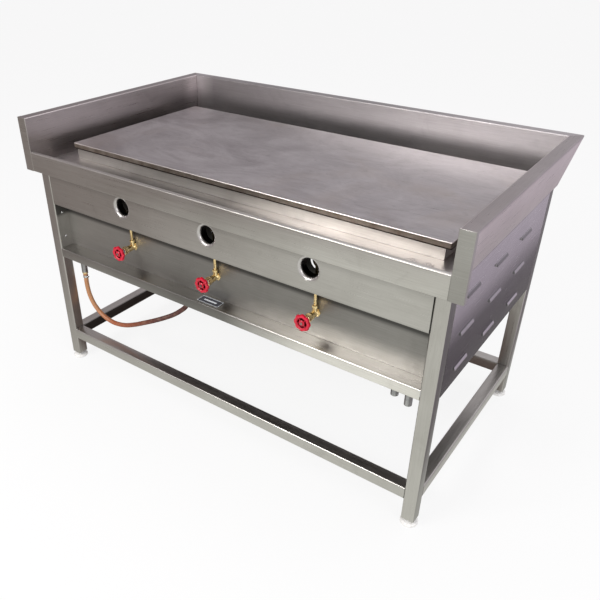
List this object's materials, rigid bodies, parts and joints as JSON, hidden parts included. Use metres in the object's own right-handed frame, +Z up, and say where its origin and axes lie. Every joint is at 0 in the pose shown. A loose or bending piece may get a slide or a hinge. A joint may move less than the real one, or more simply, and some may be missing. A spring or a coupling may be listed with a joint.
{
  "type": "gas griddle table",
  "caption": "Free-standing stainless gas griddle: flat steel plate in a splash-walled tray on a tube stand, with burners, needle valves, sight holes and a hanging hose.",
  "frame": {"origin": "centre of the bounding box on the floor", "axes": "+X along the length to the operator's right, +Y from the front to the back, +Z up"},
  "size_m": [1.47, 0.836, 0.9],
  "materials": {
    "stainless": "brushed",
    "dull_stainless": "dull",
    "plate_steel": "ground and seasoned",
    "brass": "satin",
    "chrome": "bright",
    "red_plastic": "gloss",
    "burner_iron": "as cast",
    "galvanised": "galvanised",
    "white_nylon": "matt",
    "black_plastic": "matt",
    "label": "gloss",
    "hose_rubber": "satin"
  },
  "bodies": {
    "stand_and_body": {"leg_front_left": "stainless", "leg_front_right": "stainless", "leg_rear_left": "stainless", "leg_rear_right": "stainless", "stretcher_front": "stainless", "stretcher_rear": "stainless", "stretcher_left": "stainless", "stretcher_right": "stainless", "leg_plugs": "black_plastic", "ledge_rail": "stainless", "body_rail_left": "stainless", "body_rail_right": "stainless", "body_rail_rear": "stainless", "cross_rail": "stainless", "top_rails": "stainless", "bearers": "stainless", "side_panel_left": "stainless", "side_panel_right": "stainless", "rear_panel": "stainless", "sight_panel": "stainless", "valve_panel": "stainless", "sight_collars": "dull_stainless", "panel_screws": "chrome", "nameplate": "label", "apron": "stainless", "tray_floor": "dull_stainless", "splash_left": "stainless", "splash_right": "stainless", "splash_rear": "stainless", "plate_frame": "stainless", "griddle_plate": "plate_steel", "burner_left": "burner_iron", "burner_centre": "burner_iron", "burner_right": "burner_iron", "burner_hangers": "dull_stainless", "gas_jets": "brass", "manifold": "galvanised", "manifold_saddles": "dull_stainless", "valve_bodies": "brass", "gland_nuts": "chrome", "supply_pipe": "galvanised", "pipe_clips": "dull_stainless", "hose_nipples": "brass", "hose_clamps": "chrome", "gas_hose": "hose_rubber", "drain_pipes": "galvanised", "drain_strainers": "stainless"},
    "foot_front_left": {"foot_front_left": "white_nylon"},
    "foot_front_right": {"foot_front_right": "white_nylon"},
    "foot_rear_left": {"foot_rear_left": "white_nylon"},
    "foot_rear_right": {"foot_rear_right": "white_nylon"},
    "handwheel_left": {"spindle_left": "brass", "knob_left": "red_plastic"},
    "handwheel_centre": {"spindle_centre": "brass", "knob_centre": "red_plastic"},
    "handwheel_right": {"spindle_right": "brass", "knob_right": "red_plastic"},
    "air_shutter_left": {"shutter_left": "dull_stainless"},
    "air_shutter_centre": {"shutter_centre": "dull_stainless"},
    "air_shutter_right": {"shutter_right": "dull_stainless"}
  },
  "joints": [
    {"name": "level_front_left", "type": "slide", "parent": "stand_and_body", "child": "foot_front_left", "axis": [0, 0, -1], "range_m": [0, 0.02]},
    {"name": "level_front_right", "type": "slide", "parent": "stand_and_body", "child": "foot_front_right", "axis": [0, 0, -1], "range_m": [0, 0.02]},
    {"name": "level_rear_left", "type": "slide", "parent": "stand_and_body", "child": "foot_rear_left", "axis": [0, 0, -1], "range_m": [0, 0.02]},
    {"name": "level_rear_right", "type": "slide", "parent": "stand_and_body", "child": "foot_rear_right", "axis": [0, 0, -1], "range_m": [0, 0.02]},
    {"name": "valve_turn_left", "type": "hinge", "parent": "stand_and_body", "child": "handwheel_left", "pos_m": [-0.348, -0.4075, 0.537], "axis": [0, -1, 0], "range_deg": [0, 360]},
    {"name": "valve_turn_centre", "type": "hinge", "parent": "stand_and_body", "child": "handwheel_centre", "pos_m": [-0.008, -0.4075, 0.537], "axis": [0, -1, 0], "range_deg": [0, 360]},
    {"name": "valve_turn_right", "type": "hinge", "parent": "stand_and_body", "child": "handwheel_right", "pos_m": [0.332, -0.4075, 0.537], "axis": [0, -1, 0], "range_deg": [0, 360]},
    {"name": "air_turn_left", "type": "hinge", "parent": "stand_and_body", "child": "air_shutter_left", "pos_m": [-0.333, -0.322, 0.686], "axis": [0, -1, 0], "range_deg": [0, 90]},
    {"name": "air_turn_centre", "type": "hinge", "parent": "stand_and_body", "child": "air_shutter_centre", "pos_m": [0, -0.322, 0.686], "axis": [0, -1, 0], "range_deg": [0, 90]},
    {"name": "air_turn_right", "type": "hinge", "parent": "stand_and_body", "child": "air_shutter_right", "pos_m": [0.333, -0.322, 0.686], "axis": [0, -1, 0], "range_deg": [0, 90]}
  ]
}
